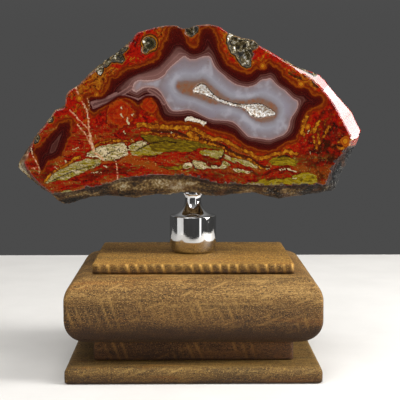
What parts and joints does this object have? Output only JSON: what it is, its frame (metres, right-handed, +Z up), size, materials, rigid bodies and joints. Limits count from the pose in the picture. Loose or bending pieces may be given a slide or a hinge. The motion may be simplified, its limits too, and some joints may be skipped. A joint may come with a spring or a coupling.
{
  "type": "polished agate half on a stand",
  "caption": "Polished agate nodule half with banded face and crystal-lined hollow, fixed on a turned chrome post over a stepped wooden plinth.",
  "frame": {"origin": "centre of the foot plate's underside", "axes": "+Z up, the polished face looks along -Y, +X to the right seen from the front"},
  "size_m": [0.1774, 0.102, 0.177],
  "materials": {
    "agate": "polished",
    "druse": "gloss",
    "chrome": "polished",
    "wood": "satin",
    "dark_wood": "satin"
  },
  "bodies": {
    "root": {"agate": "agate", "druse_crust": "druse", "chrome_post": "chrome", "top_board": "wood", "bolster": "wood", "neck_block": "dark_wood", "foot_plate": "wood"}
  },
  "joints": []
}
